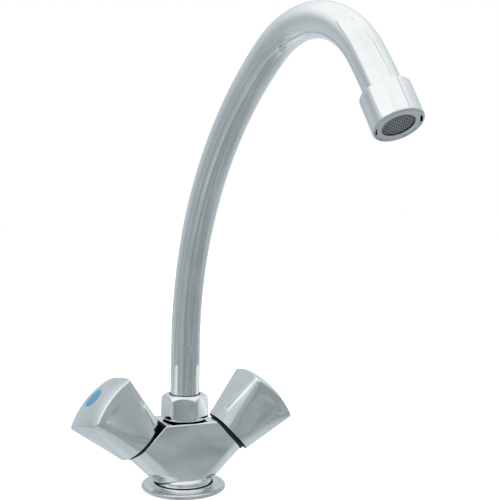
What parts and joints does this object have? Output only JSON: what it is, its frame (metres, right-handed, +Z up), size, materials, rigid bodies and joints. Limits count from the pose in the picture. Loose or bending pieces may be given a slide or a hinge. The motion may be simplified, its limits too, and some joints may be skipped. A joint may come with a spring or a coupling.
{
  "type": "two handle kitchen faucet",
  "caption": "Deck-mounted kitchen faucet: V-shaped body, square tapered knobs, tall swivelling swan neck spout and screened outlet.",
  "frame": {"origin": "centre of the underside of the base gasket, on the spout's swivel axis", "axes": "+Z up along the spout's swivel axis, -Y out of the flat front face of the body, -X towards the cold valve"},
  "size_m": [0.1371, 0.2221, 0.2759],
  "materials": {
    "body_chrome": "bright chrome plate on cast brass",
    "flange_chrome": "bright chrome plate",
    "nut_chrome": "bright chrome plate",
    "spout_chrome": "bright chrome plate on brass tube",
    "outlet_chrome": "bright chrome plate",
    "insert_chrome": "chrome plate",
    "handle_chrome": "bright chrome plate on a die casting",
    "mesh_steel": "fine woven stainless screen",
    "clip_steel": "spring steel",
    "screw_steel": "zinc plated steel",
    "turned_brass": "turned brass",
    "seal_rubber": "black rubber",
    "white_plastic": "low friction plastic",
    "collar_plastic": "black plastic",
    "ceramic": "lapped ceramic",
    "cold_index": "blue plastic plug",
    "hot_index": "red plastic plug"
  },
  "bodies": {
    "faucet_body": {"body": "body_chrome", "base_flange": "flange_chrome", "base_gasket": "seal_rubber", "spout_nut": "nut_chrome", "glide_washer": "collar_plastic", "cold_seat_seal": "seal_rubber", "cold_fixed_disc": "ceramic", "cold_bonnet": "turned_brass", "cold_bonnet_seal": "seal_rubber", "cold_collar": "collar_plastic", "hot_seat_seal": "seal_rubber", "hot_fixed_disc": "ceramic", "hot_bonnet": "turned_brass", "hot_bonnet_seal": "seal_rubber", "hot_collar": "collar_plastic"},
    "spout": {"spout_foot": "turned_brass", "spout_o_rings": "seal_rubber", "split_ring": "white_plastic", "spout_tube": "spout_chrome", "aerator_housing": "outlet_chrome", "aerator_seal": "seal_rubber", "aerator_insert": "insert_chrome", "aerator_mesh": "mesh_steel"},
    "cold_valve": {"cold_handle": "handle_chrome", "cold_index": "cold_index", "cold_handle_screw": "screw_steel", "cold_spindle": "turned_brass", "cold_moving_disc": "ceramic", "cold_spindle_o_ring": "seal_rubber", "cold_spindle_clip": "clip_steel"},
    "hot_valve": {"hot_handle": "handle_chrome", "hot_index": "hot_index", "hot_handle_screw": "screw_steel", "hot_spindle": "turned_brass", "hot_moving_disc": "ceramic", "hot_spindle_o_ring": "seal_rubber", "hot_spindle_clip": "clip_steel"}
  },
  "joints": [
    {"name": "spout_swivel", "type": "hinge", "parent": "faucet_body", "child": "spout", "pos_m": [0, 0, 0.0547], "axis": [0, 0, 1], "continuous": true},
    {"name": "cold_turn", "type": "hinge", "parent": "faucet_body", "child": "cold_valve", "pos_m": [0, 0, 0.0048], "axis": [-0.723, 0, 0.6909], "range_deg": [0, 90]},
    {"name": "hot_turn", "type": "hinge", "parent": "faucet_body", "child": "hot_valve", "pos_m": [0, 0, 0.0048], "axis": [0.723, 0, 0.6909], "range_deg": [0, 90]}
  ]
}
